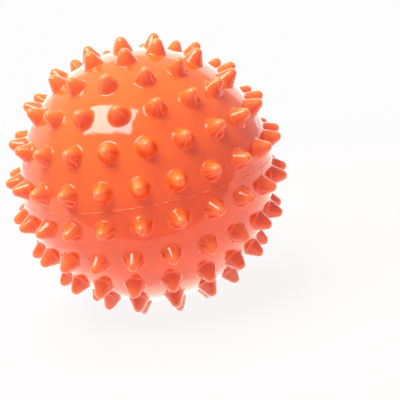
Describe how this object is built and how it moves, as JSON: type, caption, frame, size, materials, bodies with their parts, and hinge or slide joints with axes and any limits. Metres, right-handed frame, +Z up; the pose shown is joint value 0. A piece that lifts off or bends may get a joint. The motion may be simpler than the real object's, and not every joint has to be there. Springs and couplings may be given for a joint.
{
  "type": "spiky massage ball",
  "caption": "Hollow soft vinyl massage ball covered in blunt conical spikes, made of two half shells joined at a seam, with an inflation valve closed by a pull-out plug.",
  "frame": {"origin": "on the surface that the ball stands on, below its centre", "axes": "+Z up along the pole axis, square to the seam plane; -Y towards the viewer of the picture; +X to the viewer's right"},
  "size_m": [0.089, 0.0888, 0.0882],
  "materials": {
    "shell_vinyl": "glossy soft PVC, clean and slightly translucent",
    "weld_vinyl": "weld bead of the same PVC, slightly rough",
    "seat_rubber": "satin soft rubber",
    "plug_plastic": "satin polyethylene"
  },
  "bodies": {
    "ball": {"upper_half_shell": "shell_vinyl", "lower_half_shell": "shell_vinyl", "seam_weld": "weld_vinyl", "valve_seat": "seat_rubber"},
    "plug": {"valve_plug": "plug_plastic"}
  },
  "joints": [
    {"name": "plug_pull", "type": "slide", "parent": "ball", "child": "plug", "axis": [0, 0, -1], "range_m": [0, 0.014]}
  ]
}
